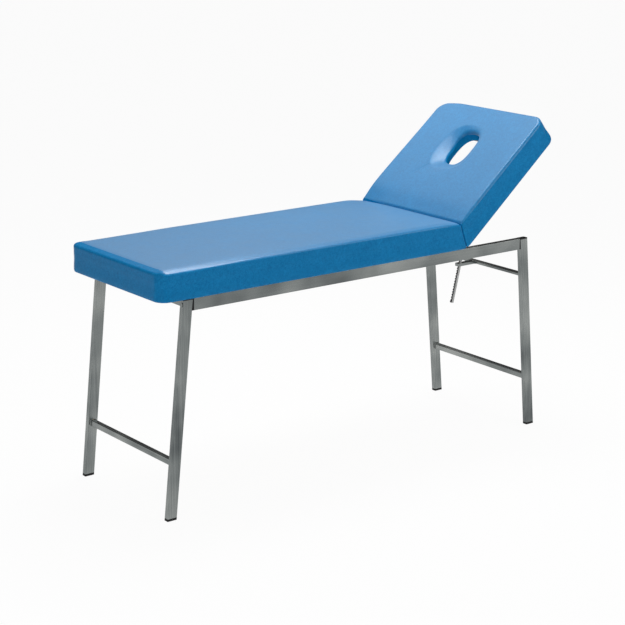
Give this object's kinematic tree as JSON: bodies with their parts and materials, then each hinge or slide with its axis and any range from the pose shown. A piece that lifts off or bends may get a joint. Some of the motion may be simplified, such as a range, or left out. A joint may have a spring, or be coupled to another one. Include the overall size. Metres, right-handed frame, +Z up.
{
  "type": "examination table",
  "caption": "Padded examination table on a splayed steel tube frame, with a raised backrest that has a breathing hole and a toothed rack support.",
  "frame": {"origin": "on the floor, under the middle of the table's box", "axes": "+X towards the head end, +Y towards the far side of the picture, +Z up"},
  "size_m": [1.688, 0.544, 1.1419],
  "materials": {
    "frame_steel": "satin grey powder coat",
    "bar_steel": "zinc plated flat bar",
    "plated_steel": "zinc plated",
    "black_plastic": "moulded, matte",
    "blue_cover": "smooth coated fabric over foam",
    "wood": "plain softwood and plywood"
  },
  "bodies": {
    "frame": {"foot_brace": "frame_steel", "foot_crossbar": "frame_steel", "foot_foot_plug_far": "black_plastic", "foot_foot_plug_near": "black_plastic", "foot_leg_far": "frame_steel", "foot_leg_near": "frame_steel", "foot_rail_plug_far": "black_plastic", "foot_rail_plug_near": "black_plastic", "foot_top_plug_far": "black_plastic", "foot_top_plug_near": "black_plastic", "head_brace": "frame_steel", "head_foot_plug_far": "black_plastic", "head_foot_plug_near": "black_plastic", "head_leg_far": "frame_steel", "head_leg_near": "frame_steel", "head_rail_plug_far": "black_plastic", "head_rail_plug_near": "black_plastic", "head_top_plug_far": "black_plastic", "head_top_plug_near": "black_plastic", "hinge_leaf_seat_far": "plated_steel", "hinge_leaf_seat_near": "plated_steel", "hinge_pin_far": "plated_steel", "hinge_pin_near": "plated_steel", "hinge_tube": "frame_steel", "leg_bolts": "plated_steel", "rack_crossbar": "frame_steel", "rack_loop": "frame_steel", "seat_cushion": "blue_cover", "seat_panel": "wood", "seat_slat_far": "wood", "seat_slat_foot": "wood", "seat_slat_head": "wood", "seat_slat_near": "wood", "side_rail_far": "frame_steel", "side_rail_near": "frame_steel"},
    "backrest": {"backrest_cushion": "blue_cover", "backrest_panel": "wood", "backrest_slat_far": "wood", "backrest_slat_foot": "wood", "backrest_slat_head": "wood", "backrest_slat_middle": "wood", "backrest_slat_near": "wood", "hinge_leaf_backrest_far": "plated_steel", "hinge_leaf_backrest_near": "plated_steel", "rack_clevis": "plated_steel", "rack_pin": "plated_steel"},
    "rack": {"rack": "bar_steel"}
  },
  "joints": [
    {"name": "backrest_hinge", "type": "hinge", "parent": "frame", "child": "backrest", "pos_m": [0.429, 0, 0.716], "axis": [0, -1, 0], "range_deg": [-40.3, 14.5]},
    {"name": "rack_swing", "type": "hinge", "parent": "backrest", "child": "rack", "pos_m": [0.75166, 0, 1.02341], "axis": [0, -1, 0], "range_deg": [-2.5, 6.5]}
  ],
  "couplings": [
    {"joint": "rack_swing", "follows": "backrest_hinge", "ratio": -0.152}
  ]
}
